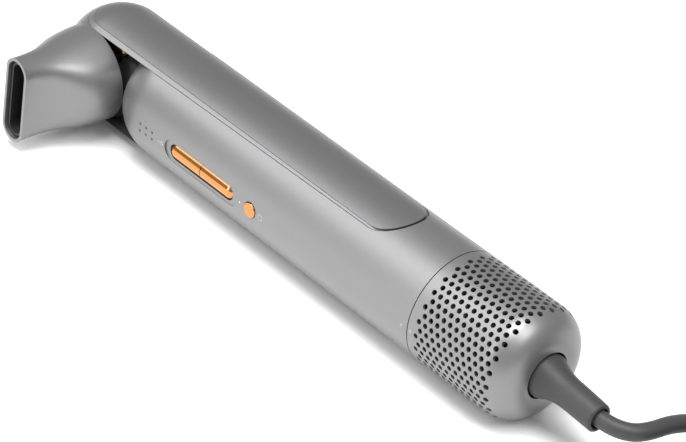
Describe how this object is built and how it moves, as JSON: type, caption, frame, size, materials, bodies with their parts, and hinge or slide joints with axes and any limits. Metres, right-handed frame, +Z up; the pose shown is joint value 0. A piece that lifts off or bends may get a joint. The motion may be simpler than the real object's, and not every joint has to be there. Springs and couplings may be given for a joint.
{
  "type": "hair dryer",
  "caption": "Slim folding hair dryer: a round grip with two arms that carry a swivelling flat nozzle, push buttons, a perforated inlet cover and a lead with a plug.",
  "frame": {"origin": "under the middle of the dryer, lead not counted, on the surface that it lies on", "axes": "+X runs along the grip to the lead, the nozzle points along -Y, and +Z is up, along the axis that the head folds about"},
  "size_m": [0.3929, 0.1283, 0.045],
  "materials": {
    "shell_paint": "satin",
    "arm_paint": "satin",
    "cover_paint": "satin",
    "nozzle_paint": "satin",
    "inlet_paint": "satin",
    "steel": "satin",
    "white_plastic": "matte",
    "gloss_black": "gloss",
    "copper": "polished",
    "black_plastic": "matte",
    "magnet": "satin",
    "board_green": "satin",
    "smoke_plastic": "gloss",
    "mica": "matte",
    "resistance_wire": "satin",
    "motor_alloy": "satin",
    "copper_wire": "satin",
    "impeller_alloy": "satin",
    "black_rubber": "matte",
    "wire_sleeve": "matte",
    "filter_mesh": "matte",
    "grey_rubber": "matte",
    "plug_metal": "satin"
  },
  "bodies": {
    "grip": {"air_duct": "black_plastic", "arm_cover_lower": "cover_paint", "arm_cover_upper": "cover_paint", "arm_lower": "arm_paint", "arm_screws_lower": "steel", "arm_screws_upper": "steel", "arm_upper": "arm_paint", "bearing_front": "steel", "bearing_rear": "steel", "board_parts": "black_plastic", "button_board": "board_green", "clamp_plate": "black_plastic", "clamp_screws": "steel", "control_board": "board_green", "detent_ball_lower": "steel", "detent_ball_upper": "steel", "filter_sleeve": "filter_mesh", "grip_shell": "shell_paint", "heater_coil": "resistance_wire", "heater_frame": "mica", "hinge_pin_lower": "steel", "hinge_pin_upper": "steel", "inlet_frame": "black_plastic", "ion_module": "black_plastic", "ion_needles": "copper", "lamp_pipes": "smoke_plastic", "lead": "grey_rubber", "lead_coil": "grey_rubber", "motor_housing": "motor_alloy", "motor_mount_front": "black_rubber", "motor_mount_rear": "black_rubber", "plug_body": "grey_rubber", "plug_pins": "plug_metal", "stator": "steel", "status_lamp": "white_plastic", "strain_relief": "grey_rubber", "supply_wires": "wire_sleeve", "switches": "black_plastic", "thermostat": "white_plastic", "thrust_washer_lower": "white_plastic", "thrust_washer_upper": "white_plastic", "windings": "copper_wire"},
    "head": {"head_hub": "gloss_black", "head_bonnet": "shell_paint", "drum_ring": "copper", "outlet_collar": "black_plastic", "outlet_grille": "black_plastic", "collar_steel_ring": "steel"},
    "nozzle_carrier": {"nozzle_magnet_ring": "magnet"},
    "nozzle": {"nozzle_shell": "nozzle_paint", "nozzle_liner": "black_plastic"},
    "heat_button": {"button_heat": "copper"},
    "speed_button": {"button_speed": "copper"},
    "power_button": {"button_power": "copper"},
    "cover": {"inlet_cover": "inlet_paint"},
    "rotor": {"motor_shaft": "steel", "impeller": "impeller_alloy", "rotor_magnet": "magnet"}
  },
  "joints": [
    {"name": "head_fold", "type": "hinge", "parent": "grip", "child": "head", "pos_m": [-0.1075, 0.0142, 0.0225], "axis": [0, 0, 1], "range_deg": [-90, 0]},
    {"name": "nozzle_pull", "type": "slide", "parent": "head", "child": "nozzle_carrier", "axis": [0, -1, 0], "range_m": [0, 0.03]},
    {"name": "nozzle_turn", "type": "hinge", "parent": "nozzle_carrier", "child": "nozzle", "pos_m": [-0.1075, 0.0142, 0.0225], "axis": [0, -1, 0], "continuous": true},
    {"name": "heat_press", "type": "slide", "parent": "grip", "child": "heat_button", "axis": [0, 1, 0], "range_m": [0, 0.0005], "stiffness_N_per_m": 1500, "springref_m": -0.0005},
    {"name": "speed_press", "type": "slide", "parent": "grip", "child": "speed_button", "axis": [0, 1, 0], "range_m": [0, 0.0005], "stiffness_N_per_m": 1500, "springref_m": -0.0005},
    {"name": "power_press", "type": "slide", "parent": "grip", "child": "power_button", "axis": [0, 1, 0], "range_m": [0, 0.0005], "stiffness_N_per_m": 1500, "springref_m": -0.0005},
    {"name": "inlet_cover_pull", "type": "slide", "parent": "grip", "child": "cover", "axis": [1, 0, 0], "range_m": [0, 0.028]},
    {"name": "rotor_spin", "type": "hinge", "parent": "grip", "child": "rotor", "pos_m": [-0.1075, 0.0142, 0.0225], "axis": [1, 0, 0], "continuous": true}
  ]
}
